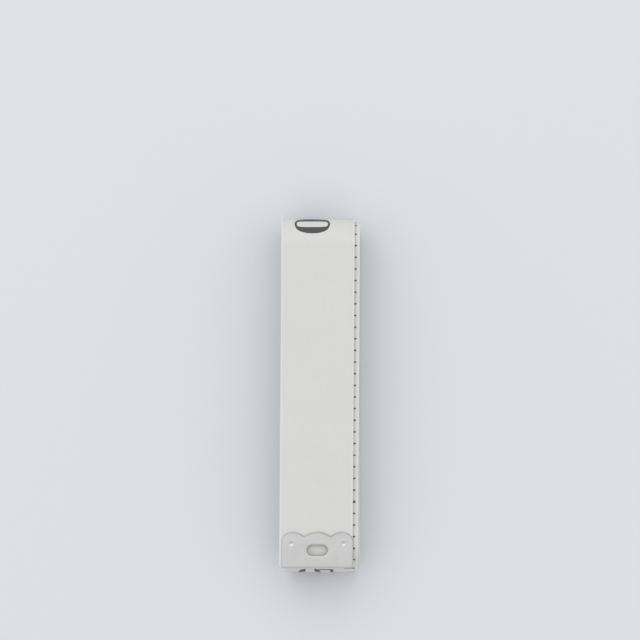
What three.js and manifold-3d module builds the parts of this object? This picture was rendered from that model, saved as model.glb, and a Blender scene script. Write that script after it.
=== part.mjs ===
// A cloth tape measure wound flat into a long pack, with a folded metal clip on each end of the tape.
// Millimetres. The pack lies on its lower face: X across the tape, Y along the pack, Z up.
// The loose end lies on top and points along -Y. The origin is the middle of the lower face.
import * as THREE from 'three';
import { mergeVertices } from 'three/addons/utils/BufferGeometryUtils.js';
import Module from 'manifold-3d';

const wasm = await Module();
wasm.setup();

// The tape
const tapeWidth = 20;
const tapeThickness = 0.3;
const scaleLength = 1524; // sixty inches, or 1500 mm on the other face
const leadLength = 98.9; // blank tape from the last mark to the loose end

// The pack
const packLength = 96.5;
const turnGap = 0.42; // air between two turns that lie on each other
const clearance = 0.3; // between pieces that lie against each other
const sway = 1; // how far the turns stand to one side and the loose end to the other
const tipSetback = 1.25; // from the near end of the pack to the loose end's clip
const innerEndSetback = 2; // from the innermost tape end to the bend that it points at
const gapStep = 0.15; // spacing of the points that the gap between turns is measured on

// The outermost turn unrolls: its bend has two hinges on the tape's middle plane, with a link between them.
const hingeCount = 2;

// Sideways place of the tape at the loose end and at the bends that follow it, as shares of the sway
const outerSwayShares = [-1, -0.4, 0.5, 1];
const innerSwayShare = 0.82;
const innerSwayRangeShare = 0.1;

// The end clips
const clipWidth = 19.5;
const clipLength = 9.8;
const clipPlate = 0.25; // sheet metal
const clipSeat = 0.05; // between the sheet metal and the tape
const clipShift = 0.4; // the loose end's clip is crimped on this far off centre
const clipCorner = 0.6; // radius of the two corners at the fold
const lobeOffset = 6.8; // the scalloped edge: outer lobes from the middle one
const notchOffset = 3.65; // notches from the middle
const notchDepth = 1.17;
const flankDrop = 2.5; // from a lobe's top to where its flank meets the side
const slotLength = 5.7;
const slotWidth = 3.1;
const slotSetback = 4.8; // the slot's middle from the fold
const dentOffset = 7.1; // crimp dents from the middle
const dentSetback = 6.7; // crimp dents from the fold
const dentRadius = 0.55;
const dentDepth = 0.12;
const cutOverrun = 1;

// How finely the curves are drawn
const stepsPerBend = 16;
const stepsPerLink = 12;
const clipCurveSteps = 16;
const dentSteps = 28;

const tapeLength = scaleLength + leadLength;
const pitch = tapeThickness + turnGap;
const clipInnerHalf = tapeThickness / 2 + clipSeat;
const clipHalf = clipInnerHalf + clipPlate;
const clipPitch = clipHalf + clearance + tapeThickness / 2; // from a clipped run to the next one
const tapeEndInClip = clipHalf + clipSeat; // from the clip's fold to the tape's end
const tipY = -packLength / 2 + tipSetback;
const linkTurn = Math.PI / hingeCount;

// The winding. Runs are counted from the loose end inwards: even ones lie on top, odd ones below,
// and bend k joins run k to run k + 1, at the far end (+Y) when k is even.

// Height of each run's middle plane, with a core of the given height between the last two runs.
function levelsFor(runCount, core) {
  const last = runCount - 1;
  const depth = [0, 0];
  for (let k = 2; k < runCount; k += 1) {
    const clipped = k === 2 || k === last;
    depth[k] = depth[k - 2] + (clipped ? clipPitch : pitch);
  }
  const lowest = tapeThickness / 2;
  const highest = lowest + depth[last] + depth[last - 1] + core;
  return depth.map((d, k) => (k % 2 === 0 ? highest - d : lowest + d));
}

function layOut(runCount, core) {
  const level = levelsFor(runCount, core);
  const bend = level.slice(1).map((z, k) => Math.abs(z - level[k]) / 2);
  const farBend = packLength / 2 - tapeThickness / 2 - bend[0];
  const nearBend = -packLength / 2 + tapeThickness / 2 + bend[1];
  const straight = farBend - nearBend;
  const looseRun = farBend - tipY - tapeEndInClip;
  const innerRun = straight - innerEndSetback;
  const bends = Math.PI * bend.reduce((sum, radius) => sum + radius, 0);
  const length = looseRun + (runCount - 2) * straight + innerRun + bends;
  return { runCount, level, bend, farBend, nearBend, length };
}

// The tape and the pack have set lengths, so the core opens until the whole tape is used up.
function coreFor(runCount) {
  const closed = layOut(runCount, 0).length;
  const growth = (layOut(runCount, pitch).length - closed) / pitch;
  return (tapeLength - closed) / growth;
}

let runCount = 3;
while (coreFor(runCount + 1) > clipPitch) runCount += 1;
const winding = layOut(runCount, coreFor(runCount));
const { level, bend, farBend, nearBend } = winding;
const lastRun = runCount - 1;

// Sideways place of the tape at the loose end (0) and at bend k - 1 (k > 0).
function swayAt(k) {
  if (k < outerSwayShares.length) return sway * outerSwayShares[k];
  return sway * (innerSwayShare + innerSwayRangeShare * Math.sin(2 * k));
}

// A station on the tape: its middle, and the direction that its printed face looks in.
function station(x, y, z, normalY, normalZ) {
  return { x, y, z, normalY, normalZ };
}

// Where run k starts and ends, counted from the loose end.
function runEnds(k) {
  const away = k % 2 === 0;
  let start = away ? nearBend : farBend;
  let end = away ? farBend : nearBend;
  if (k === 0) start = tipY + tapeEndInClip;
  if (k === lastRun) end += away ? -innerEndSetback : innerEndSetback;
  return { start, end, normalZ: away ? 1 : -1 };
}

function runStations(k, steps) {
  const { start, end, normalZ } = runEnds(k);
  const stations = [];
  for (let i = 0; i <= steps; i += 1) {
    const share = i / steps;
    const x = swayAt(k) + (swayAt(k + 1) - swayAt(k)) * share;
    stations.push(station(x, start + (end - start) * share, level[k], 0, normalZ));
  }
  return stations;
}

// Bend k, or the stretch of it between two turns, which are angles from its start.
function bendStations(k, steps, fromTurn = 0, toTurn = Math.PI) {
  const away = k % 2 === 0;
  const middleZ = (level[k] + level[k + 1]) / 2;
  const middleY = away ? farBend : nearBend;
  const stations = [];
  for (let i = 0; i <= steps; i += 1) {
    const turn = fromTurn + ((toTurn - fromTurn) * i) / steps;
    const normalY = away ? Math.sin(turn) : -Math.sin(turn);
    const normalZ = away ? Math.cos(turn) : -Math.cos(turn);
    const y = middleY + bend[k] * normalY;
    const z = middleZ + bend[k] * normalZ;
    stations.push(station(swayAt(k + 1), y, z, normalY, normalZ));
  }
  return stations;
}

// The hinges of the outermost bend. Hinge 1 is next to the pack and hinge 2 is next to the loose end.
const hingeGapTurn = clearance / 2 / bend[0];

function hingeTurn(i) {
  return Math.PI - (i - 1 / 2) * linkTurn;
}

function hingePlace(i) {
  const [{ x, y, z }] = bendStations(0, 1, hingeTurn(i), hingeTurn(i));
  return new THREE.Vector3(x, y, z);
}

function linkStations() {
  return bendStations(0, stepsPerLink, hingeTurn(2) + hingeGapTurn, hingeTurn(1) - hingeGapTurn);
}

// The loose end: the outermost run, and the start of its bend as far as hinge 2.
function looseStations() {
  const bent = bendStations(0, stepsPerLink / 2, 0, hingeTurn(2) - hingeGapTurn);
  return [...runStations(0, 1), ...bent.slice(1)];
}

// The band of tape through the stations, closed at both ends.
function ribbon(stations) {
  const positions = [];
  for (const { x, y, z, normalY, normalZ } of stations) {
    const outY = (normalY * tapeThickness) / 2;
    const outZ = (normalZ * tapeThickness) / 2;
    positions.push(x - tapeWidth / 2, y + outY, z + outZ);
    positions.push(x + tapeWidth / 2, y + outY, z + outZ);
    positions.push(x + tapeWidth / 2, y - outY, z - outZ);
    positions.push(x - tapeWidth / 2, y - outY, z - outZ);
  }
  const faces = [0, 3, 2, 0, 2, 1];
  for (let i = 0; i < stations.length - 1; i += 1) {
    for (let side = 0; side < 4; side += 1) {
      const a = 4 * i + side;
      const b = 4 * i + ((side + 1) % 4);
      faces.push(a, b, b + 4, a, b + 4, a + 4);
    }
  }
  const end = 4 * (stations.length - 1);
  faces.push(end, end + 1, end + 2, end, end + 2, end + 3);
  const geometry = new THREE.BufferGeometry();
  geometry.setAttribute('position', new THREE.Float32BufferAttribute(positions, 3));
  geometry.setIndex(faces);
  return geometry;
}

// Joining and cutting
function solidOf(geometry) {
  const bare = geometry.clone();
  bare.deleteAttribute('normal');
  bare.deleteAttribute('uv');
  const merged = mergeVertices(bare);
  const vertProperties = new Float32Array(merged.attributes.position.array);
  const triVerts = new Uint32Array(merged.index.array);
  return new wasm.Manifold(new wasm.Mesh({ numProp: 3, vertProperties, triVerts }));
}

function geometryOf(solid) {
  const { vertProperties, triVerts } = solid.getMesh();
  const geometry = new THREE.BufferGeometry();
  geometry.setAttribute('position', new THREE.BufferAttribute(new Float32Array(vertProperties), 3));
  geometry.setIndex(new THREE.BufferAttribute(new Uint32Array(triVerts), 1));
  geometry.computeVertexNormals();
  return geometry;
}

// A plan outline as a prism that runs past the clip above and below.
function prism(outline) {
  const height = 2 * (clipHalf + cutOverrun);
  const options = { depth: height, bevelEnabled: false, curveSegments: clipCurveSteps };
  return new THREE.ExtrudeGeometry(outline, options).translate(0, 0, -height / 2);
}

// The end clip, in its own frame: its fold at y = 0, its plates along +Y, the tape's middle plane at z = 0.

// Side view of the sheet metal: two plates joined by a round fold, extruded across the tape.
function foldedSheet() {
  const profile = new THREE.Shape();
  profile.moveTo(clipLength, clipInnerHalf);
  profile.lineTo(clipLength, clipHalf);
  profile.absarc(clipHalf, 0, clipHalf, Math.PI / 2, (3 * Math.PI) / 2, false);
  profile.lineTo(clipLength, -clipHalf);
  profile.lineTo(clipLength, -clipInnerHalf);
  profile.absarc(clipHalf, 0, clipInnerHalf, (3 * Math.PI) / 2, Math.PI / 2, true);
  const options = { depth: clipWidth, bevelEnabled: false, curveSegments: clipCurveSteps };
  const sheet = new THREE.ExtrudeGeometry(profile, options).translate(0, 0, -clipWidth / 2);
  const along = new THREE.Vector3(0, 1, 0);
  const up = new THREE.Vector3(0, 0, 1);
  const across = new THREE.Vector3(1, 0, 0);
  return sheet.applyMatrix4(new THREE.Matrix4().makeBasis(along, up, across));
}

// Radius of the arc that rises by rise over a half chord.
function arcRadius(halfChord, rise) {
  return (halfChord * halfChord + rise * rise) / (2 * rise);
}

// Plan view of the clip: square at the fold, with small round corners, and three lobes at the free edge.
function scallopedOutline() {
  const side = clipWidth / 2;
  const quarter = Math.PI / 2;
  const flankTop = clipLength - flankDrop;
  const middleRadius = arcRadius(notchOffset, notchDepth);
  const outerRadius = arcRadius(lobeOffset - notchOffset, notchDepth);
  const middleTurn = Math.asin(notchOffset / middleRadius);
  const outerTurn = Math.asin((lobeOffset - notchOffset) / outerRadius);
  const outerMiddle = clipLength - outerRadius;
  const outline = new THREE.Shape();
  outline.absarc(side - clipCorner, clipCorner, clipCorner, -quarter, 0, false);
  outline.absellipse(lobeOffset, flankTop, side - lobeOffset, flankDrop, 0, quarter, false);
  outline.absarc(lobeOffset, outerMiddle, outerRadius, quarter, quarter + outerTurn, false);
  const crown = clipLength - middleRadius;
  outline.absarc(0, crown, middleRadius, quarter - middleTurn, quarter + middleTurn, false);
  outline.absarc(-lobeOffset, outerMiddle, outerRadius, quarter - outerTurn, quarter, false);
  outline.absellipse(-lobeOffset, flankTop, side - lobeOffset, flankDrop, quarter, 2 * quarter, false);
  outline.absarc(clipCorner - side, clipCorner, clipCorner, 2 * quarter, 3 * quarter, false);
  return outline;
}

function slotOutline() {
  const radius = slotWidth / 2;
  const reach = slotLength / 2 - radius;
  const outline = new THREE.Shape();
  outline.absarc(reach, slotSetback, radius, -Math.PI / 2, Math.PI / 2, false);
  outline.absarc(-reach, slotSetback, radius, Math.PI / 2, (3 * Math.PI) / 2, false);
  return outline;
}

// The ball whose cap is one crimp dent, on the upper plate (side 1) or the lower one (side -1).
function dentBall(x, side) {
  const radius = arcRadius(dentRadius, dentDepth);
  const ball = new THREE.SphereGeometry(radius, dentSteps, dentSteps);
  ball.rotateX(Math.PI / 2);
  return ball.translate(x, dentSetback, side * (clipHalf + radius - dentDepth));
}

function clipGeometry() {
  let clip = solidOf(foldedSheet()).intersect(solidOf(prism(scallopedOutline())));
  clip = clip.subtract(solidOf(prism(slotOutline())));
  for (const side of [1, -1]) {
    clip = clip.subtract(solidOf(dentBall(dentOffset, side)));
    clip = clip.subtract(solidOf(dentBall(-dentOffset, side)));
  }
  return geometryOf(clip);
}

// Puts what is drawn in a clip's own frame on the loose end, or on the innermost end of the tape.
function placeOnLooseEnd(thing) {
  thing.position.set(swayAt(0) + clipShift, tipY, level[0]);
  return thing;
}

function placeOnInnerEnd(thing) {
  const { end, normalZ } = runEnds(lastRun);
  thing.position.set(swayAt(lastRun + 1), end + normalZ * tapeEndInClip, level[lastRun]);
  thing.rotation.z = normalZ > 0 ? Math.PI : 0;
  return thing;
}

// The tape, less the slot that is punched through it together with the clip at that end.
function punched(tape, place) {
  const punch = place(new THREE.Mesh(prism(slotOutline())));
  punch.updateMatrix();
  const cutter = punch.geometry.applyMatrix4(punch.matrix);
  return geometryOf(solidOf(tape).subtract(solidOf(cutter)));
}

// The unbroken winding, from hinge 1 to the innermost end of the tape.
function windingStations() {
  const stations = bendStations(0, stepsPerLink / 2, hingeTurn(1) + hingeGapTurn, Math.PI).slice(0, -1);
  for (let k = 1; k < runCount; k += 1) {
    stations.push(...runStations(k, 1));
    if (k === lastRun) break;
    stations.push(...bendStations(k, stepsPerBend).slice(1, -1));
  }
  return stations;
}

// The least air between any two turns, on points along the whole tape.
function leastGap() {
  const points = [];
  for (let k = 0; k < runCount; k += 1) {
    const { start, end } = runEnds(k);
    points.push(...runStations(k, Math.ceil(Math.abs(end - start) / gapStep)));
    if (k < lastRun) points.push(...bendStations(k, Math.ceil((Math.PI * bend[k]) / gapStep)));
  }
  const apart = Math.ceil((4 * pitch) / gapStep); // nearer ones along the tape are the same turn
  let least = Infinity;
  for (let i = 0; i < points.length; i += 1) {
    for (let j = i + apart; j < points.length; j += 1) {
      const dy = points[i].y - points[j].y;
      const dz = points[i].z - points[j].z;
      least = Math.min(least, dy * dy + dz * dz);
    }
  }
  return Math.sqrt(least) - tapeThickness;
}

// Materials
function tapeMaterial() {
  return new THREE.MeshStandardMaterial({ color: 0xd8d9d6, roughness: 0.5, metalness: 0 });
}

function clipMaterial() {
  return new THREE.MeshStandardMaterial({ color: 0xc6c7c6, roughness: 0.35, metalness: 1 });
}

function piece(name, geometry, material) {
  const mesh = new THREE.Mesh(geometry, material);
  mesh.name = name;
  return mesh;
}

// A group on each hinge holds what moves with it, so turning both groups alike about X unrolls the bend.
const pack = new THREE.Group();
const turns = ribbon(windingStations());
pack.add(piece('tape_winding', punched(turns, placeOnInnerEnd), tapeMaterial()));
pack.add(placeOnInnerEnd(piece('inner_end_clip', clipGeometry(), clipMaterial())));

const fold = new THREE.Group();
const foldPlace = hingePlace(1);
fold.position.copy(foldPlace);
pack.add(fold);
const link = ribbon(linkStations()).translate(-foldPlace.x, -foldPlace.y, -foldPlace.z);
fold.add(piece('fold_link', link, tapeMaterial()));

const unrolling = new THREE.Group();
const loosePlace = hingePlace(2);
unrolling.position.copy(loosePlace).sub(foldPlace);
fold.add(unrolling);
const looseEnd = new THREE.Group();
looseEnd.position.copy(loosePlace).negate();
unrolling.add(looseEnd);
looseEnd.add(piece('outer_run', punched(ribbon(looseStations()), placeOnLooseEnd), tapeMaterial()));
looseEnd.add(placeOnLooseEnd(piece('outer_end_clip', clipGeometry(), clipMaterial())));

for (const { x, y, z } of [foldPlace, loosePlace]) {
  console.log(`hinge at x ${x.toFixed(4)}, y ${y.toFixed(4)}, z ${z.toFixed(4)}`);
}
console.log(`${runCount} runs of tape, ${winding.length.toFixed(1)} mm in all`);
console.log(`far bend ${bend[0].toFixed(2)} mm in radius, pack ${(level[0] + clipHalf).toFixed(2)} mm thick`);
console.log(`least gap between turns ${leastGap().toFixed(3)} mm`);

const group = new THREE.Group();
group.add(pack);

export default group;
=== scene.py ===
# A cloth tape measure wound flat into a long pack, with a folded metal clip on each end of the tape.
# The pack lies on its lower face: X across the tape, Y along the pack, Z up.
# Shapes are worked out in millimetres and brought to metres when a piece is finished.
import math

import bmesh
import bpy
from mathutils import Matrix, Vector


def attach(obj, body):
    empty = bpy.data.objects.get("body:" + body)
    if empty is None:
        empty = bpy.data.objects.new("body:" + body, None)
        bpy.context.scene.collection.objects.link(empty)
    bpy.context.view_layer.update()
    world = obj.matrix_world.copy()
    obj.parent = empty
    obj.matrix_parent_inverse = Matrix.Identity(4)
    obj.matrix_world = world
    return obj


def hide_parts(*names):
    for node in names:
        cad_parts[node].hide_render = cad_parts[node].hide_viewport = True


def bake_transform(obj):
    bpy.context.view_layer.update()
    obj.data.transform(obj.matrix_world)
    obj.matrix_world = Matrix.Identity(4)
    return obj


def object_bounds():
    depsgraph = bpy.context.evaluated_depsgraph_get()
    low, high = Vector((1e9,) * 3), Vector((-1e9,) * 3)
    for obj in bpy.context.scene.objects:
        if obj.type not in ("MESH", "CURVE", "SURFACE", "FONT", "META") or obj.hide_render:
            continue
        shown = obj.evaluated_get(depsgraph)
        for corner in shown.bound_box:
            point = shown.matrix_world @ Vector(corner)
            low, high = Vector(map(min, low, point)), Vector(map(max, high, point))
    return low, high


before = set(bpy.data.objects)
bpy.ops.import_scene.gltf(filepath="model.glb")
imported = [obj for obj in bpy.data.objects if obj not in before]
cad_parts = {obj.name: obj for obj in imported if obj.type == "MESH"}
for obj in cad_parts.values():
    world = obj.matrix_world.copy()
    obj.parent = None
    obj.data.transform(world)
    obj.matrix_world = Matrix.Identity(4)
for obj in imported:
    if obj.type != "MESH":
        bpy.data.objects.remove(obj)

mm = 0.001
closeBy = 1e-4  # in mm: points nearer than this are taken to be one
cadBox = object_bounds()

# The camera looks straight down on the middle of the photograph's frame.
view = {
    "aim": (0.14, 20.67),
    "height": 3000,  # above the loose end's clip
    "frameWidth": 174.5,  # what the frame takes in at the clip
    "sensor": 36,
    "sight": (0.01, 100),  # the nearest and farthest that the camera sees, in metres
}


def makeCamera():
    camera = bpy.data.objects.new("camera", bpy.data.cameras.new("camera"))
    bpy.context.scene.collection.objects.link(camera)
    camera.location = (view["aim"][0] * mm, view["aim"][1] * mm, cadBox[1].z + view["height"] * mm)
    camera.data.sensor_width = view["sensor"]
    camera.data.lens = view["sensor"] * view["height"] / view["frameWidth"]
    camera.data.clip_start, camera.data.clip_end = view["sight"]
    bpy.context.scene.camera = camera


makeCamera()
print("camera set")

# How the tape is wound: the solid model's own values, so that every piece lies where its solid does.
winding = {
    "width": 20,
    "thickness": 0.3,
    "scaleLength": 1524,
    "leadLength": 98.9,
    "packLength": 96.5,
    "turnGap": 0.42,
    "clearance": 0.3,
    "sway": 1,
    "outerSwayShares": (-1, -0.4, 0.5, 1),
    "innerSwayShare": 0.82,
    "innerSwayRangeShare": 0.1,
    "innerSwayTurn": 2,  # from one inner run's sway to the next one's, in radians
    "tipSetback": 1.25,
    "innerEndSetback": 2,
}

# The end clips, as the solid model has them, and how their sheet metal is finished.
clip = {
    "width": 19.5,
    "length": 9.8,
    "plate": 0.25,
    "seat": 0.05,
    "shift": 0.4,
    "corner": 0.6,
    "lobeOffset": 6.8,
    "notchOffset": 3.65,
    "notchDepth": 1.17,
    "notchEase": 0.25,  # how far from its bottom a notch is rounded
    "notchSteps": 3,
    "flankDrop": 2.5,
    "slotLength": 5.7,
    "slotWidth": 3.1,
    "slotSetback": 4.8,
    "dentOffset": 7.1,
    "dentSetback": 6.7,
    "dentRadius": 0.6,
    "dentDepth": 0.14,
    "dentRings": 4,
    "dentSegments": 24,
    "rimWidths": (0.22, 0.18, 0.05),  # the pressed border, inwards from the outline and from the slot
    "rimDrop": 0.05,
    "slotRimPaintedShade": 0.2,  # how dark the painted shade on the slot's border is against that on the scalloped edge
    "sideRimPaintedShade": 0.2,  # and that on the straight sides
    "flatEase": 0.1,  # flat metal kept round the dents and next to the fold
    "edgeRadius": 0.05,
    "edgeSegments": 2,
    "arcSteps": 12,
    "slotSteps": 40,
    "foldSteps": 14,
}

pitch = winding["thickness"] + winding["turnGap"]
clipHalf = winding["thickness"] / 2 + clip["seat"] + clip["plate"]
clipMiddle = clipHalf - clip["plate"] / 2  # the sheet metal's middle, from the tape's middle plane
clipPitch = clipHalf + winding["clearance"] + winding["thickness"] / 2
tapeEndInClip = clipHalf + clip["seat"]
tipY = -winding["packLength"] / 2 + winding["tipSetback"]
tapeLength = winding["scaleLength"] + winding["leadLength"]


# Runs are counted from the loose end inwards: even ones lie on top, odd ones below.
# Bend k joins run k to run k + 1, at the far end (+Y) when k is even.
# Run 2 and the innermost one are given more room, because a clip lies between each and the next run out.
def levelsFor(runCount, core):
    last = runCount - 1
    depth = [0, 0]
    for k in range(2, runCount):
        depth.append(depth[k - 2] + (clipPitch if k in (2, last) else pitch))
    lowest = winding["thickness"] / 2
    highest = lowest + depth[last] + depth[last - 1] + core
    return [highest - d if k % 2 == 0 else lowest + d for k, d in enumerate(depth)]


def layOut(runCount, core):
    level = levelsFor(runCount, core)
    bend = [abs(level[k + 1] - level[k]) / 2 for k in range(runCount - 1)]
    far = winding["packLength"] / 2 - winding["thickness"] / 2 - bend[0]
    near = -winding["packLength"] / 2 + winding["thickness"] / 2 + bend[1]
    looseRun = far - tipY - tapeEndInClip
    innerRun = far - near - winding["innerEndSetback"]
    length = looseRun + (runCount - 2) * (far - near) + innerRun + math.pi * sum(bend)
    return {"level": level, "bend": bend, "far": far, "near": near, "length": length}


# How high the open core has to be for this many runs to take up the whole tape
def coreFor(runCount):
    closed = layOut(runCount, 0)["length"]
    growth = (layOut(runCount, pitch)["length"] - closed) / pitch
    return (tapeLength - closed) / growth


runCount = 3  # and as many more as still leave room for the inner clip in the core
while coreFor(runCount + 1) > clipPitch:
    runCount += 1
laid = layOut(runCount, coreFor(runCount))
lastRun = runCount - 1


def swayAt(k):
    shares = winding["outerSwayShares"]
    if k < len(shares):
        return winding["sway"] * shares[k]
    wander = math.sin(winding["innerSwayTurn"] * k)
    return winding["sway"] * (winding["innerSwayShare"] + winding["innerSwayRangeShare"] * wander)


# The runs and bends in order, and where along the tape each starts and ends, from the loose end.
def tapeStretches():
    found = []
    at = 0
    for k in range(runCount):
        away = k % 2 == 0
        start, end = (laid["near"], laid["far"]) if away else (laid["far"], laid["near"])
        if k == 0:
            start = tipY + tapeEndInClip
        if k == lastRun:
            end += -winding["innerEndSetback"] if away else winding["innerEndSetback"]
        to = at + abs(end - start)
        found.append({"bent": False, "k": k, "from": at, "to": to, "start": start, "end": end})
        at = to
        if k < lastRun:
            to = at + math.pi * laid["bend"][k]
            found.append({"bent": True, "k": k, "from": at, "to": to})
            at = to
    return found


stretches = tapeStretches()
looseBend = stretches[1]  # the outermost bend

# The inner runs don't lie quite straight in a pack that was wound by hand.
slack = {
    "height": 0.09,
    "waves": 1.6,
    "turn": 1.7,  # from one run's waves to the next one's, in radians
}


# How far a run strays from its level, at this share of its length
def strayAt(k, share):
    if k < 2 or k == lastRun:
        return 0
    waves = math.sin(slack["turn"] * k + 2 * math.pi * slack["waves"] * share)
    return slack["height"] * waves * math.sin(math.pi * share) ** 2


# Where a point of the flat tape lies in the pack. It is given across the tape, along it from the loose end,
# and out of its middle plane towards the printed face that looks outwards.
def inPack(across, along, out):
    here = next((s for s in stretches if along <= s["to"]), stretches[-1])
    k = here["k"]
    side = 1 if k % 2 == 0 else -1
    share = (along - here["from"]) / (here["to"] - here["from"])
    if here["bent"]:
        radius = laid["bend"][k] + out
        turn = math.pi * share
        middleY = laid["far"] if side > 0 else laid["near"]
        middleZ = (laid["level"][k] + laid["level"][k + 1]) / 2
        y = middleY + side * radius * math.sin(turn)
        return Vector((swayAt(k + 1) + across, y, middleZ + side * radius * math.cos(turn)))
    x = swayAt(k) + (swayAt(k + 1) - swayAt(k)) * share
    y = here["start"] + (here["end"] - here["start"]) * share
    return Vector((x + across, y, laid["level"][k] + strayAt(k, share) + side * out))


print(f"winding laid out: {runCount} runs, {tapeLength:.1f} mm of tape")

# Shader nodes


def addNode(tree, kind, inputs=None, **settings):
    node = tree.nodes.new(kind)
    for name, value in settings.items():
        setattr(node, name, value)
    for name, value in (inputs or {}).items():
        feed(tree, value, node.inputs[name])
    return node


def feed(tree, value, socket):
    if isinstance(value, bpy.types.NodeSocket):
        tree.links.new(value, socket)
    else:
        socket.default_value = value


def sums(tree, operation, *values):
    node = tree.nodes.new("ShaderNodeMath")
    node.operation = operation
    for i, value in enumerate(values):
        feed(tree, value, node.inputs[i])
    return node.outputs[0]


def mixed(tree, share, low, high):
    node = tree.nodes.new("ShaderNodeMix")
    node.data_type = "RGBA"
    feed(tree, share, node.inputs[0])
    feed(tree, low, node.inputs[6])
    feed(tree, high, node.inputs[7])
    return node.outputs[2]


def ranged(tree, value, low, high):
    return addNode(tree, "ShaderNodeMapRange", {"Value": value, "To Min": low, "To Max": high}).outputs[0]


def newGroup(name, inputs, outputs):
    group = bpy.data.node_groups.new(name, "ShaderNodeTree")
    for label, kind in inputs.items():
        group.interface.new_socket(label, in_out="INPUT", socket_type=kind)
    for label, kind in outputs.items():
        group.interface.new_socket(label, in_out="OUTPUT", socket_type=kind)
    return group, group.nodes.new("NodeGroupInput").outputs, group.nodes.new("NodeGroupOutput").inputs


def placeGroup(tree, group, inputs):
    node = addNode(tree, "ShaderNodeGroup", node_tree=group)
    for name, value in inputs.items():
        feed(tree, value, node.inputs[name])
    return node.outputs


# Plain weave: threads across and along take turns on top. Its place is the one on the cloth, in millimetres.
def makeWeave():
    floats = "NodeSocketFloat"
    inputs = {"Place": "NodeSocketVector", "Across Pitch": floats, "Along Pitch": floats}
    group, given, wanted = newGroup("plain weave", inputs, {"Height": floats})
    split = addNode(group, "ShaderNodeSeparateXYZ", {"Vector": given["Place"]}).outputs
    across = sums(group, "DIVIDE", split["X"], given["Across Pitch"])
    along = sums(group, "DIVIDE", split["Y"], given["Along Pitch"])
    warp = sums(group, "ABSOLUTE", sums(group, "SINE", sums(group, "MULTIPLY", across, math.pi)))
    weft = sums(group, "ABSOLUTE", sums(group, "SINE", sums(group, "MULTIPLY", along, math.pi)))
    cell = sums(group, "ADD", sums(group, "FLOOR", across), sums(group, "FLOOR", along))
    over = sums(group, "PINGPONG", cell, 1)
    top = sums(group, "MULTIPLY", warp, over)
    under = sums(group, "MULTIPLY", weft, sums(group, "SUBTRACT", 1, over))
    group.links.new(sums(group, "ADD", top, under), wanted["Height"])
    return group


patchRange = (-0.6, 1.6)  # stretches the noise, which stays near its middle, to about 0 and 1


# Soft patches, as of handling and uneven coating
def makePatches():
    floats = "NodeSocketFloat"
    inputs = {"Place": "NodeSocketVector", "Scale": floats, "Detail": floats}
    group, given, wanted = newGroup("soft patches", inputs, {"Mask": floats})
    settings = {"Vector": given["Place"], "Scale": given["Scale"], "Detail": given["Detail"]}
    noise = addNode(group, "ShaderNodeTexNoise", settings)
    group.links.new(ranged(group, noise.outputs[0], *patchRange), wanted["Mask"])
    return group


weaveGroup = makeWeave()
patchGroup = makePatches()


def newMaterial(name):
    material = bpy.data.materials.new(name)
    material.use_nodes = True
    tree = material.node_tree
    return material, tree, tree.nodes["Principled BSDF"].inputs


def patches(tree, place, grain):
    return placeGroup(tree, patchGroup, {"Place": place, "Scale": grain[0], "Detail": grain[1]})["Mask"]


def raised(tree, height, strength, depth, shader):
    bump = addNode(tree, "ShaderNodeBump", {"Height": height, "Strength": strength, "Distance": depth * mm})
    feed(tree, bump.outputs[0], shader["Normal"])


# The place on the tape, in millimetres, and the height of its weave there
def clothWeave(tree):
    place = addNode(tree, "ShaderNodeUVMap", uv_map="cloth").outputs["UV"]
    pitches = {"Place": place, "Across Pitch": cloth["acrossPitch"], "Along Pitch": cloth["alongPitch"]}
    return place, placeGroup(tree, weaveGroup, pitches)["Height"]


# Patches are given as their scale and their detail.
cloth = {
    "color": (0.655, 0.652, 0.632, 1),
    "shade": (0.590, 0.590, 0.572, 1),  # in the patches and between the threads
    "acrossPitch": 0.42,
    "alongPitch": 0.5,
    "weaveDepth": 0.012,  # in mm, under the vinyl coating
    "bump": 0.5,
    "widePatches": (0.06, 3.0),
    "finePatches": (0.9, 4.0),
    "patchShare": 0.22,
    "threadShare": 0.3,
    "roughness": (0.42, 0.55),
    "selvedge": 0.55,  # width of the denser edge, in mm
    "selvedgeCoreShare": 0.6,  # how much of it is at its densest
    "selvedgeColor": (0.680, 0.680, 0.665, 1),
}


def makeCloth():
    material, tree, shader = newMaterial("coated cloth")
    place, weave = clothWeave(tree)
    wide = patches(tree, place, cloth["widePatches"])
    fine = patches(tree, place, cloth["finePatches"])
    across = addNode(tree, "ShaderNodeSeparateXYZ", {"Vector": place}).outputs["X"]
    fromEdge = sums(tree, "SUBTRACT", winding["width"] / 2, sums(tree, "ABSOLUTE", across))
    dense = cloth["selvedge"] * cloth["selvedgeCoreShare"]
    fading = {"Value": fromEdge, "From Min": dense, "From Max": cloth["selvedge"],
              "To Min": 1.0, "To Max": 0.0}
    selvedge = addNode(tree, "ShaderNodeMapRange", fading).outputs[0]
    soil = sums(tree, "MULTIPLY", sums(tree, "ADD", wide, fine), cloth["patchShare"])
    threads = sums(tree, "MULTIPLY", sums(tree, "SUBTRACT", 1, weave), cloth["threadShare"])
    body = mixed(tree, sums(tree, "ADD", soil, threads), cloth["color"], cloth["shade"])
    feed(tree, mixed(tree, selvedge, body, cloth["selvedgeColor"]), shader["Base Color"])
    feed(tree, ranged(tree, fine, *cloth["roughness"]), shader["Roughness"])
    raised(tree, weave, cloth["bump"], cloth["weaveDepth"], shader)
    return material


ink = {
    "color": (0.052, 0.054, 0.057, 1),
    "worn": (0.100, 0.104, 0.108, 1),  # between the threads, where the printing is thin
    "patches": (2.5, 4.0),
    "roughness": (0.38, 0.5),
}


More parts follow.
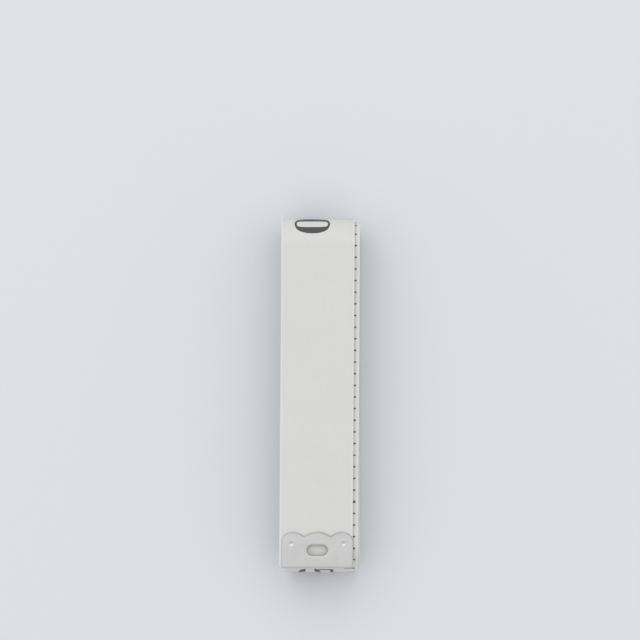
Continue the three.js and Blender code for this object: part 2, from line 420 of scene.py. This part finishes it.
def makeInk():
    material, tree, shader = newMaterial("printing ink")
    place, weave = clothWeave(tree)
    fine = patches(tree, place, ink["patches"])
    thin = sums(tree, "MULTIPLY", sums(tree, "SUBTRACT", 1, weave), fine)
    feed(tree, mixed(tree, thin, ink["color"], ink["worn"]), shader["Base Color"])
    feed(tree, ranged(tree, fine, *ink["roughness"]), shader["Roughness"])
    raised(tree, weave, cloth["bump"], cloth["weaveDepth"], shader)
    return material


metal = {
    "color": (0.690, 0.668, 0.640, 1),
    "dull": (0.625, 0.605, 0.580, 1),
    # painted shade along the clip's pressed border, standing in for its rounded edge's darker reflection and
    # shadow
    "rimPaintedShade": (0.370, 0.359, 0.342, 1),
    "widePatches": (0.25, 3.0),
    "roughness": (0.30, 0.42),
    "roughnessShare": 0.5,  # the patches' share in the roughness, and the grain's too
    "grainStretch": (4, 60, 60),  # the rolling grain runs across the clip, so it is finest along it
    "grainPatches": (0.2, 2.0),
    "grainDepth": 0.002,
    "bump": 0.4,
}


def makeMetal():
    material, tree, shader = newMaterial("tin-plated steel")
    place = addNode(tree, "ShaderNodeTexCoord").outputs["Object"]
    inMillimetres = addNode(tree, "ShaderNodeMapping", {"Vector": place, "Scale": (1 / mm,) * 3}).outputs[0]
    wide = patches(tree, inMillimetres, metal["widePatches"])
    stretching = {"Vector": inMillimetres, "Scale": metal["grainStretch"]}
    grain = patches(tree, addNode(tree, "ShaderNodeMapping", stretching).outputs[0], metal["grainPatches"])
    # The darker band along the clip's border is painted shade, read from the attribute that makeClip writes.
    painted_rim_shade = addNode(tree, "ShaderNodeAttribute", attribute_name="painted_rim_shade").outputs["Fac"]
    body = mixed(tree, wide, metal["color"], metal["dull"])
    feed(tree, mixed(tree, painted_rim_shade, body, metal["rimPaintedShade"]), shader["Base Color"])
    parts = [sums(tree, "MULTIPLY", mask, metal["roughnessShare"]) for mask in (wide, grain)]
    feed(tree, ranged(tree, sums(tree, "ADD", *parts), *metal["roughness"]), shader["Roughness"])
    shader["Metallic"].default_value = 1
    raised(tree, grain, metal["bump"], metal["grainDepth"], shader)
    return material


clothMaterial = makeCloth()
inkMaterial = makeInk()
metalMaterial = makeMetal()
print("materials made")

sharpAngle = math.radians(40)  # edges that turn more than this are shaded sharp
cornerAngle = 1  # and those that turn more than this, in radians, get rounded


# Turns a mesh in millimetres into a piece
def finished(bm, name, materials):
    bmesh.ops.recalc_face_normals(bm, faces=bm.faces)
    bmesh.ops.scale(bm, vec=(mm, mm, mm), verts=bm.verts)
    for face in bm.faces:
        face.smooth = True
    for edge in bm.edges:
        edge.smooth = edge.is_manifold and edge.calc_face_angle(0) < sharpAngle
    mesh = bpy.data.meshes.new(name)
    bm.to_mesh(mesh)
    bm.free()
    for material in materials:
        mesh.materials.append(material)
    piece = bpy.data.objects.new(name, mesh)
    bpy.context.scene.collection.objects.link(piece)
    return piece


# A round-ended slot as a ring of edges, centred on the given point
def slotRing(bm, x, y, grow=0):
    radius = clip["slotWidth"] / 2 + grow
    reach = (clip["slotLength"] - clip["slotWidth"]) / 2
    steps = clip["slotSteps"]
    ring = bmesh.ops.create_circle(bm, segments=steps, radius=radius)["verts"]
    bmesh.ops.rotate(bm, verts=ring, cent=(0, 0, 0), matrix=Matrix.Rotation(math.pi / steps, 3, "Z"))
    for side in (-1, 1):
        half = [v for v in ring if v.co.x * side > 0]
        bmesh.ops.translate(bm, verts=half, vec=(side * reach + x, y, 0))
    return sorted({e for v in ring for e in v.link_edges}, key=lambda e: e.index)


# The printing: closed low prisms of ink that are sunk a little into the tape's face
scale = {
    "printedRuns": 3,  # outer runs that are printed, each with the bend after it
    "proud": 0.012,
    "sunk": 0.02,
    "strokeLift": 0.002,  # how much prouder each stroke of a digit is than the last, so that none coincide
    "digitHeight": 9.7,
    "digitWidth": 6.78,
    "digitGap": 0.5,
    "digitFoot": -6.4,  # the foot of the digits, across the tape from its middle
    "labelShift": 1.0,  # from an inch mark to the middle of its number, towards the loose end
    "penAlong": 1.05,  # half the thick strokes' width, along the tape
    "penAcross": 0.25,  # and half the thin ones', across it
    "tickEdge": 0.8,  # from the tape's edge to the marks
    "tickLengths": {8: 5, 4: 4, 2: 3, 1: 2},  # by how many eighths divide the mark
    "tickWidth": 0.42,
    "boldWidth": 0.7,
    "boldEvery": 5,  # inches
}

inch = 25.4
eighths = 8  # in an inch

# The strokes of the digits in a unit box: a line, a curve or a loop, its share of the pen's width, and its
# points. A ring has its outer and its inner outline instead, in the whole digit's box.
digitStrokes = {
    "0": [("ring", 1, [(1, .5), (.96, .74), (.81, .93), (.5, 1), (.19, .93), (.04, .74),
                       (0, .5), (.04, .26), (.19, .07), (.5, 0), (.81, .07), (.96, .26)],
           [(.69, .5), (.69, .73), (.65, .9), (.5, .94), (.35, .9), (.31, .73),
            (.31, .5), (.31, .27), (.35, .1), (.5, .06), (.65, .1), (.69, .27)])],
    "1": [("line", 1, [(.55, 0), (.55, 1)]), ("line", .3, [(.0, .78), (.45, 1)]),
          ("line", 1, [(.1, 0), (1, 0)])],
    "2": [("curve", 1, [(.02, .74), (.14, .93), (.5, 1), (.86, .93),
                        (.98, .74), (.86, .52), (.45, .26), (.06, .02)]),
          ("line", 1.6, [(-.1, .02), (1.1, .02)]), ("line", .4, [(1.12, .01), (1.2, .17)])],
    "3": [("curve", 1, [(.03, .8), (.2, .96), (.5, 1), (.84, .94), (.95, .77), (.83, .6), (.45, .53)]),
          ("curve", 1, [(.45, .53), (.86, .47), (1, .27), (.86, .06), (.5, 0), (.16, .05), (0, .21)])],
    "4": [("line", 1, [(.74, 0), (.74, 1)]), ("line", .3, [(.6, .98), (-.2, .28)]),
          ("line", 1, [(-.26, .27), (1.2, .27)]), ("line", 1, [(.35, 0), (1.13, 0)])],
    "5": [("line", 1.8, [(1, .98), (-.14, .98)]), ("line", .25, [(-.1, 1), (-.1, .46)]),
          ("curve", 1, [(-.04, .47), (.2, .6), (.62, .62), (.93, .51), (1, .3),
                        (.88, .08), (.5, 0), (.14, .05), (0, .2)])],
    "6": [("curve", 1, [(.95, .84), (.76, .97), (.5, 1), (.16, .88), (.01, .6), (0, .3)]),
          ("loop", 1, [(0, .3), (.14, .54), (.5, .6), (.86, .54),
                       (1, .3), (.86, .06), (.5, 0), (.14, .06)])],
    "7": [("line", 1.8, [(-.16, .98), (1.14, .98)]), ("line", .3, [(-.12, 1), (-.16, .8)]),
          ("curve", 1, [(1, .97), (.68, .62), (.46, .28), (.38, 0)])],
    "8": [("loop", 1, [(.93, .77), (.8, .94), (.5, 1), (.2, .94),
                       (.07, .77), (.2, .6), (.5, .54), (.8, .6)]),
          ("loop", 1, [(1, .27), (.86, .48), (.5, .54), (.14, .48),
                       (0, .27), (.14, .06), (.5, 0), (.86, .06)])],
}
digitStrokes["9"] = [  # the 6 turned round
    (kind, share, [(1 - u, 1 - v) for u, v in points]) for kind, share, points in digitStrokes["6"]
]
curveSteps = 4  # from one point of a curve to the next


# A smooth line through the points, or the points themselves
def smoothed(points, kind):
    if kind == "line":
        return [Vector(p) for p in points]
    closes = kind in ("loop", "ring")
    count = len(points)
    line = []
    for i in range(count if closes else count - 1):
        places = [(i + j) % count if closes else min(max(i + j, 0), count - 1) for j in (-1, 0, 1, 2)]
        a, b, c, d = (Vector(points[place]) for place in places)
        for step in range(curveSteps):
            t = step / curveSteps
            squared = (2 * a - 5 * b + 4 * c - d) * t * t
            cubed = (3 * b - a - 3 * c + d) * t ** 3
            line.append((2 * b + (c - a) * t + squared + cubed) / 2)
    if not closes:
        line.append(Vector(points[-1]))
    return line


# How far an oval pen reaches from a stroke that runs in this direction
def penReach(direction, penU, penV):
    nx, ny = -direction.y, direction.x
    size = math.hypot(penU * nx, penV * ny)
    return Vector((penU * penU * nx, penV * penV * ny)) / size


# The two sides of a stroke along a line
def strokeSides(line, closes, pen):
    sides = []
    count = len(line)
    for i, point in enumerate(line):
        before = line[i - 1] if closes or i > 0 else point
        after = line[(i + 1) % count] if closes or i < count - 1 else point
        reach = penReach((after - before).normalized(), *pen)
        sides.append((point - reach, point + reach))
    return sides


# One stroke as a flat band of faces. place turns a digit's own directions into across and along the tape.
def inkBand(bm, sides, closes, lift, place):
    rows = [[bm.verts.new((*place(point), lift)) for point in pair] for pair in sides]
    for i in range(len(rows) if closes else len(rows) - 1):
        a, b = rows[i], rows[(i + 1) % len(rows)]
        bm.faces.new((a[0], a[1], b[1], b[0]))


# The two sides of one of a digit's strokes, at its size in this lettering
def digitSides(stroke, lettering):
    kind, share, *outlines = stroke
    width, height = lettering["digitWidth"], lettering["digitHeight"]
    if kind == "ring":
        rings = [[Vector((p.x * width, p.y * height)) for p in smoothed(ring, kind)] for ring in outlines]
        return list(zip(*rings))
    along, across = lettering["penAlong"], lettering["penAcross"]
    line = [Vector((along + p.x * (width - 2 * along), across + p.y * (height - 2 * across)))
            for p in smoothed(outlines[0], kind)]
    return strokeSides(line, kind == "loop", (along * min(share, 1), across * max(share, 1)))


# A number whose middle is at the given place along the tape. It reads towards the loose end if reads is -1.
def inkNumber(bm, text, middle, reads, lettering):
    width, gap, foot = (lettering[name] for name in ("digitWidth", "digitGap", "digitFoot"))
    total = len(text) * width + (len(text) - 1) * gap
    for i, digit in enumerate(text):
        left = i * (width + gap) - total / 2
        for layer, stroke in enumerate(digitStrokes[digit]):
            closes = stroke[0] in ("loop", "ring")
            inkBand(bm, digitSides(stroke, lettering), closes, layer * scale["strokeLift"],
                    lambda p, left=left: (foot + p.y, middle + reads * (left + p.x)))


def inkTick(bm, along, length, width):
    outer = winding["width"] / 2 - scale["tickEdge"]
    corners = [(outer - length, along - width / 2), (outer, along - width / 2),
               (outer, along + width / 2), (outer - length, along + width / 2)]
    bm.faces.new([bm.verts.new((x, y, 0)) for x, y in corners])


# The outward face carries inches. They start at the core, so the highest number is next to the blank lead.
def inkInches(bm, start, end):
    count = round(winding["scaleLength"] * eighths / inch)
    for i in range(count):
        along = winding["leadLength"] + i * inch / eighths
        mark = count - i
        if start <= along < end:
            divides = next(d for d in scale["tickLengths"] if mark % d == 0)
            bold = mark % (eighths * scale["boldEvery"]) == 0
            width = scale["boldWidth"] if bold else scale["tickWidth"]
            inkTick(bm, along, scale["tickLengths"][divides], width)
        middle = along - scale["labelShift"]
        if mark % eighths == 0 and start <= middle < end:
            inkNumber(bm, str(mark // eighths), middle, -1, scale)


# The inward face carries centimetres, which start at the loose end.
centimetres = {
    "length": 1500,
    "covered": 10,  # by the clip
    "digitHeight": 5,
    "digitWidth": 2.9,
    "digitGap": 0.4,
    "digitFoot": -2.6,
    "labelShift": 4.2,
    "penAlong": 0.42,
    "penAcross": 0.17,
    "tickLengths": {10: 5, 5: 3.4, 1: 2.2},  # by how many millimetres divide the mark
    "tickWidth": 0.22,
    "boldWidth": 0.4,
    "boldEvery": 5,  # centimetres
}

centimetre = 10


def inkCentimetres(bm, start, end):
    for along in range(centimetres["covered"], centimetres["length"] + 1):
        if start <= along < end:
            divides = next(d for d in centimetres["tickLengths"] if along % d == 0)
            bold = along % (centimetre * centimetres["boldEvery"]) == 0
            width = centimetres["boldWidth"] if bold else centimetres["tickWidth"]
            inkTick(bm, along, centimetres["tickLengths"][divides], width)
        middle = along - centimetres["labelShift"]
        if along % centimetre == 0 and max(start, centimetres["covered"]) <= middle < end:
            inkNumber(bm, str(along // centimetre), middle, 1, centimetres)


# Cuts a flat mesh across, at this place along it, and takes away what is past the cut if clears
def cutAcross(bm, at, facing=1, clears=False):
    everything = bm.verts[:] + bm.edges[:] + bm.faces[:]
    return bmesh.ops.bisect_plane(bm, geom=everything, dist=closeBy, plane_co=(0, at, 0),
                                  plane_no=(0, facing, 0), clear_outer=clears)["geom_cut"]


# Gives flat ink its thickness on the outward face (1) or the inward one (-1), and cuts it across where the
# tape bends and at the piece's two ends.
def settleInk(bm, side, rows, low, high):
    if not bm.faces:
        return
    lifted = bmesh.ops.extrude_face_region(bm, geom=bm.faces[:])["geom"]
    top = [v for v in lifted if isinstance(v, bmesh.types.BMVert)]
    bmesh.ops.translate(bm, verts=top, vec=(0, 0, scale["proud"] + scale["sunk"]))
    bmesh.ops.recalc_face_normals(bm, faces=bm.faces)
    bmesh.ops.translate(bm, verts=bm.verts, vec=(0, 0, winding["thickness"] / 2 - scale["sunk"]))
    if side < 0:
        bmesh.ops.mirror(bm, geom=bm.verts[:] + bm.edges[:] + bm.faces[:], axis="Z", merge_dist=-1)
        gone = [v for v in bm.verts if v.co.z > 0]
        bmesh.ops.delete(bm, geom=gone, context="VERTS")
    for row in rows:
        cutAcross(bm, row)
    for end, outwards in ((low, -1), (high, 1)):
        opened = cutAcross(bm, end, outwards, clears=True)
        bmesh.ops.holes_fill(bm, edges=[e for e in opened if isinstance(e, bmesh.types.BMEdge)], sides=0)
    for face in bm.faces:
        face.material_index = 1


# The tape
tape = {
    "columns": 12,
    "rowSpacing": 3,
    "bendSteps": 36,  # rows in a whole bend
    "rowLeeway": 0.001,  # of a row: so little over a whole number doesn't add one
    "edgeRadius": 0.06,
    "edgeSegments": 2,
    "slotEase": 0.06,  # how much the slot in the tape clears the clip's
    "slotMargin": 0.5,
}


# Where the tape has a row of points between two places along it
def rowsBetween(start, end, bentOnly=False):
    rows = [] if bentOnly else [start]
    for stretch in stretches:
        low, high = max(start, stretch["from"]), min(end, stretch["to"])
        if high - low < closeBy or (bentOnly and not stretch["bent"]):
            continue
        if stretch["bent"]:
            share = (high - low) / (stretch["to"] - stretch["from"])
            steps = math.ceil(tape["bendSteps"] * share - tape["rowLeeway"])
        else:
            steps = math.ceil((high - low) / tape["rowSpacing"])
        rows += [low + (high - low) * i / steps for i in range(0 if bentOnly else 1, steps + 1)]
    return rows


# A length of the tape, made flat and then laid in the pack. slot is where the clip's slot goes through it.
def makeTape(name, start, end, slot=None):
    rows = rowsBetween(start, end)
    if slot:
        reachX, reachY = (clip[side] / 2 + tape["slotMargin"] for side in ("slotLength", "slotWidth"))
        rows = sorted([r for r in rows if abs(r - slot[1]) > reachY] + [slot[1] - reachY, slot[1] + reachY])
    bm = bmesh.new()
    bmesh.ops.create_grid(bm, x_segments=tape["columns"], y_segments=len(rows) - 1, size=1)
    for vert in bm.verts:
        row = rows[round((vert.co.y + 1) / 2 * (len(rows) - 1))]
        vert.co = (vert.co.x * winding["width"] / 2, row, -winding["thickness"] / 2)
    if slot:
        x, y = slot
        outside = {e for e in bm.edges if e.is_boundary}
        middle = [f for f in bm.faces if abs(f.calc_center_median().y - y) < reachY
                  and any(abs(v.co.x - x) < reachX for v in f.verts)]
        bmesh.ops.delete(bm, geom=middle, context="FACES")
        hole = [e for e in bm.edges if e.is_boundary and e not in outside]
        ring = slotRing(bm, x, y, tape["slotEase"])
        for vert in {v for e in ring for v in e.verts}:
            vert.co.z = -winding["thickness"] / 2
        bmesh.ops.triangle_fill(bm, use_beauty=True, edges=hole + ring)
    lifted = bmesh.ops.extrude_face_region(bm, geom=bm.faces[:])["geom"]
    top = [v for v in lifted if isinstance(v, bmesh.types.BMVert)]
    bmesh.ops.translate(bm, verts=top, vec=(0, 0, winding["thickness"]))
    bmesh.ops.recalc_face_normals(bm, faces=bm.faces)
    edges = [e for e in bm.edges if all(abs(abs(v.co.x) - winding["width"] / 2) < closeBy for v in e.verts)
             and abs(e.verts[0].co.z - e.verts[1].co.z) < closeBy and e.calc_face_angle(0) > cornerAngle]
    bmesh.ops.bevel(bm, geom=edges, offset=tape["edgeRadius"], offset_type="OFFSET",
                    segments=tape["edgeSegments"], profile=0.5, affect="EDGES", material=-1)
    addInk(bm, start, end)
    bmesh.ops.triangulate(bm, faces=[f for f in bm.faces if len(f.verts) > 4])
    cloths = bm.loops.layers.uv.new("cloth")
    for face in bm.faces:
        for loop in face.loops:
            loop[cloths].uv = loop.vert.co.xy
    for vert in bm.verts:
        vert.co = inPack(*vert.co)
    return finished(bm, name, (clothMaterial, inkMaterial))


def addInk(bm, start, end):
    printedTo = stretches[2 * scale["printedRuns"]]["from"]
    low, high = start, min(end, printedTo)
    if high <= low:
        return
    margin = 2 * scale["digitWidth"]  # takes in a number that the piece's end cuts
    for side, draw in ((1, inkInches), (-1, inkCentimetres)):
        printed = bmesh.new()
        draw(printed, low - margin, high + margin)
        settleInk(printed, side, rowsBetween(low, high, bentOnly=True), low, high)
        carrier = bpy.data.meshes.new("ink")
        printed.to_mesh(carrier)
        printed.free()
        bm.from_mesh(carrier)
        bpy.data.meshes.remove(carrier)


bendMiddle = (looseBend["from"] + looseBend["to"]) / 2
slotFromEnd = clip["slotSetback"] - tapeEndInClip
outerRun = makeTape("outer_run_tape", 0, looseBend["from"], (clip["shift"], slotFromEnd))
looseFold = makeTape("fold_tape_upper", looseBend["from"], bendMiddle)
packFold = makeTape("fold_tape_lower", bendMiddle, looseBend["to"])
print("outer turn made")
turns = makeTape("winding_tape", looseBend["to"], tapeLength, (0, tapeLength - slotFromEnd))
print("winding made")


# A clip is drawn as its flat blank, with the fold's line on the X axis, and then folded over the tape.
foldHalf = math.pi / 2 * clipMiddle


# Along the blank, for a place on the folded clip at this distance from its fold
def onBlank(fromFold):
    if fromFold >= clipHalf:
        return foldHalf + fromFold - clipHalf
    return clipMiddle * math.acos(min(1, max(-1, (clipHalf - fromFold) / clipMiddle)))


def arcPoints(middle, radii, start, end):
    steps = clip["arcSteps"]
    angles = [math.radians(start + (end - start) * i / steps) for i in range(steps + 1)]
    return [(middle[0] + radii[0] * math.cos(a), middle[1] + radii[1] * math.sin(a)) for a in angles]


def arcRadius(halfChord, rise):
    return (halfChord * halfChord + rise * rise) / (2 * rise)


# The right half of the free edge and side of one plate, from the middle lobe's top to the fold
def blankEdge():
    side = clip["width"] / 2
    middleRadius = arcRadius(clip["notchOffset"], clip["notchDepth"])
    outerHalf = clip["lobeOffset"] - clip["notchOffset"]
    outerRadius = arcRadius(outerHalf, clip["notchDepth"])
    middleTurn = math.degrees(math.asin(clip["notchOffset"] / middleRadius))
    outerTurn = math.degrees(math.asin(outerHalf / outerRadius))
    top = clip["length"]
    flank = (side - clip["lobeOffset"], clip["flankDrop"])
    plan = arcPoints((0, top - middleRadius), (middleRadius,) * 2, 90, 90 - middleTurn)
    plan += arcPoints((clip["lobeOffset"], top - outerRadius), (outerRadius,) * 2, 90 + outerTurn, 90)[1:]
    plan += arcPoints((clip["lobeOffset"], top - clip["flankDrop"]), flank, 90, 0)[1:]
    corner = arcPoints((side - clip["corner"], clip["corner"]), (clip["corner"],) * 2, 0, -90)
    least = clipHalf - clipMiddle
    plan += [p for p in corner if p[1] > least]
    points = [(x, onBlank(y)) for x, y in plan]
    last = next(x for x, y in corner if y <= least)
    return points + [((points[-1][0] + last) / 2, 0)]


def blankOutline(bm):
    verts = [bm.verts.new((x, y, 0)) for x, y in blankEdge()]
    edges = [bm.edges.new(pair) for pair in zip(verts, verts[1:])]
    for axis in "XY":
        bmesh.ops.mirror(bm, geom=verts + edges, axis=axis, merge_dist=closeBy)
        verts, edges = bm.verts[:], bm.edges[:]
    bmesh.ops.remove_doubles(bm, verts=bm.verts, dist=closeBy)
    notches = [v for v in bm.verts if abs(abs(v.co.x) - clip["notchOffset"]) < closeBy]
    bmesh.ops.bevel(bm, geom=notches, offset=clip["notchEase"], offset_type="OFFSET",
                    segments=clip["notchSteps"], profile=0.5, affect="VERTICES", material=-1)


# How dark the painted shade on the pressed border is at a place on the blank: it fades from the lobes to the
# straight sides.
def rimPaintedShadeAt(x, y):
    y = abs(y)
    if math.hypot(x, y - onBlank(clip["slotSetback"])) < clip["slotLength"] / 2 + sum(clip["rimWidths"]):
        return clip["slotRimPaintedShade"]
    if abs(x) < clip["lobeOffset"]:
        return 1.0
    risen = (y - onBlank(clip["length"] - clip["flankDrop"])) / clip["flankDrop"]
    return clip["sideRimPaintedShade"] + (1 - clip["sideRimPaintedShade"]) * min(1, max(0, risen))


def clipDents():
    places = []
    for side in (-1, 1):
        for plate in (-1, 1):
            places.append(Vector((side * clip["dentOffset"], plate * onBlank(clip["dentSetback"]), 0)))
    return places


def makeClip(name, place):
    bm = bmesh.new()
    blankOutline(bm)
    slotAt = onBlank(clip["slotSetback"])
    for plate in (-1, 1):
        slotRing(bm, 0, plate * slotAt)
    rings = []
    for dent in clipDents():
        radius = clip["dentRadius"] + clip["flatEase"]
        made = bmesh.ops.create_circle(bm, segments=clip["dentSegments"], radius=radius)["verts"]
        bmesh.ops.translate(bm, verts=made, vec=dent)
        rings.append(sorted({e for v in made for e in v.link_edges}, key=lambda e: e.index))
    bmesh.ops.triangle_fill(bm, use_beauty=True, use_dissolve=False, edges=bm.edges[:])
    for ring in rings:
        if all(len(e.link_faces) == 1 for e in ring):
            disc = bmesh.ops.edgeloop_fill(bm, edges=ring)["faces"]
            step = clip["dentRadius"] / (clip["dentRings"] + 1)
            for thickness in [clip["flatEase"]] + [step] * clip["dentRings"]:
                bmesh.ops.inset_region(bm, faces=disc, thickness=thickness)
    bmesh.ops.recalc_face_normals(bm, faces=bm.faces)
    if sum(f.normal.z for f in bm.faces) < 0:
        bmesh.ops.reverse_faces(bm, faces=bm.faces)
    # Each border vertex gets its share of the painted edge shade in a float attribute.
    paintedShades = bm.verts.layers.float.new("painted_rim_shade")
    plates = bm.faces[:]
    for i, width in enumerate(clip["rimWidths"]):
        bmesh.ops.inset_region(bm, faces=plates, thickness=width, use_boundary=True, use_even_offset=True)
        inner = {v for f in plates for v in f.verts}
        if i < len(clip["rimWidths"]) - 1:
            for vert in (v for v in bm.verts if v not in inner and v[paintedShades] == 0):
                vert[paintedShades] = rimPaintedShadeAt(*vert.co.xy)
    for vert in (v for v in bm.verts if v.is_boundary):
        vert.co.z = -clip["rimDrop"]
    bmesh.ops.translate(bm, verts=bm.verts, vec=(0, 0, clip["plate"] / 2))
    under = bmesh.ops.extrude_face_region(bm, geom=bm.faces[:])["geom"]
    for vert in (v for v in under if isinstance(v, bmesh.types.BMVert)):
        vert.co.z = -clip["plate"] / 2
    bmesh.ops.recalc_face_normals(bm, faces=bm.faces)
    edges = [e for e in bm.edges if e.calc_face_angle(0) > cornerAngle and all(v.co.z > 0 for v in e.verts)]
    bmesh.ops.bevel(bm, geom=edges, offset=clip["edgeRadius"], offset_type="OFFSET",
                    segments=clip["edgeSegments"], profile=0.5, affect="EDGES", material=-1)
    lines = [foldHalf * (2 * i / clip["foldSteps"] - 1) for i in range(clip["foldSteps"] + 1)]
    for line in [lines[0] - clip["flatEase"]] + lines + [lines[-1] + clip["flatEase"]]:
        cutAcross(bm, line)
    for dent in clipDents():
        for vert in bm.verts:
            share = (vert.co.xy - dent.xy).length / clip["dentRadius"]
            if vert.co.z > 0 and share < 1:
                vert.co.z -= clip["dentDepth"] * (1 - share * share)
    for vert in bm.verts:
        x, along, out = vert.co
        radius = clipMiddle + out
        if abs(along) < foldHalf:
            turn = along / clipMiddle
            vert.co = (x, clipHalf - radius * math.cos(turn), radius * math.sin(turn))
        else:
            vert.co = (x, clipHalf + abs(along) - foldHalf, math.copysign(radius, along))
    bmesh.ops.transform(bm, matrix=place, verts=bm.verts)
    return finished(bm, name, (metalMaterial,))


loosePlace = (swayAt(0) + clip["shift"], tipY, laid["level"][0])
looseClip = makeClip("loose_end_clip", Matrix.Translation(loosePlace))
coreSide = 1 if lastRun % 2 == 0 else -1
coreY = stretches[-1]["end"] + coreSide * tapeEndInClip
corePlace = Matrix.Translation((swayAt(lastRun + 1), coreY, laid["level"][lastRun]))
if coreSide > 0:
    corePlace = corePlace @ Matrix.Rotation(math.pi, 4, "Z")
coreClip = makeClip("core_end_clip", corePlace)
print("clips made")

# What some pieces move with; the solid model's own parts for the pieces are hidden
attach(turns, "pack")
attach(coreClip, "pack")
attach(outerRun, "loose_end")
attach(looseClip, "loose_end")


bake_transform(packFold)
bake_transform(looseFold)
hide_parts("tape_winding")
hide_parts("fold_link")
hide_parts("fold_link")
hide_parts("outer_run")
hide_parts("outer_end_clip")
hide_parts("inner_end_clip")

# The floor and the light
studio = {
    "floorColor": (0.690, 0.712, 0.750, 1),
    "floorSize": 6.0,
    "floorDrop": 0.00002,  # below the tape's underside, so that the two don't coincide
    "floorPatches": (3.0, 2.0),
    "floorShade": 0.99,  # how light the patches are against the rest
    "floorRoughness": 0.9,
    "floorSpecular": 0.1,
    "backdrop": (0.690, 0.712, 0.750, 1),  # seen beyond the floor, and in the metal
    "surround": 0.86,  # strength of the even light from all round
    "lampPower": 9.4,
    "lampSize": 2.0,
    "lampPlace": (-0.2, 0.9, 1.35),
}


def makeFloor():
    bm = bmesh.new()
    bmesh.ops.create_grid(bm, x_segments=1, y_segments=1, size=studio["floorSize"] / 2)
    mesh = bpy.data.meshes.new("floor")
    bm.to_mesh(mesh)
    bm.free()
    floor = bpy.data.objects.new("floor", mesh)
    bpy.context.scene.collection.objects.link(floor)
    floor.location.z = -studio["floorDrop"]
    material, tree, shader = newMaterial("plain floor")
    place = addNode(tree, "ShaderNodeTexCoord").outputs["Object"]
    shade = tuple(c * studio["floorShade"] for c in studio["floorColor"][:3]) + (1,)
    color = mixed(tree, patches(tree, place, studio["floorPatches"]), shade, studio["floorColor"])
    feed(tree, color, shader["Base Color"])
    shader["Roughness"].default_value = studio["floorRoughness"]
    shader["Specular IOR Level"].default_value = studio["floorSpecular"]
    mesh.materials.append(material)


def makeLight():
    world = bpy.data.worlds.new("studio")
    bpy.context.scene.world = world
    world.use_nodes = True
    tree = world.node_tree
    background = tree.nodes["Background"]
    rays = addNode(tree, "ShaderNodeLightPath").outputs
    mirrored = sums(tree, "MAXIMUM", rays["Is Glossy Ray"], rays["Is Transmission Ray"])
    seen = sums(tree, "MAXIMUM", rays["Is Camera Ray"], mirrored)
    feed(tree, mixed(tree, seen, (1, 1, 1, 1), studio["backdrop"]), background.inputs["Color"])
    feed(tree, ranged(tree, seen, studio["surround"], 1.0), background.inputs["Strength"])
    lamp = bpy.data.lights.new("softbox", "AREA")
    lamp.shape = "SQUARE"
    lamp.size = studio["lampSize"]
    lamp.energy = studio["lampPower"]
    holder = bpy.data.objects.new("softbox", lamp)
    bpy.context.scene.collection.objects.link(holder)
    holder.location = studio["lampPlace"]
    holder.rotation_euler = (-Vector(studio["lampPlace"])).to_track_quat("-Z", "Y").to_euler()


makeFloor()
makeLight()
bpy.context.scene.view_settings.view_transform = "Standard"
print("stage lit")
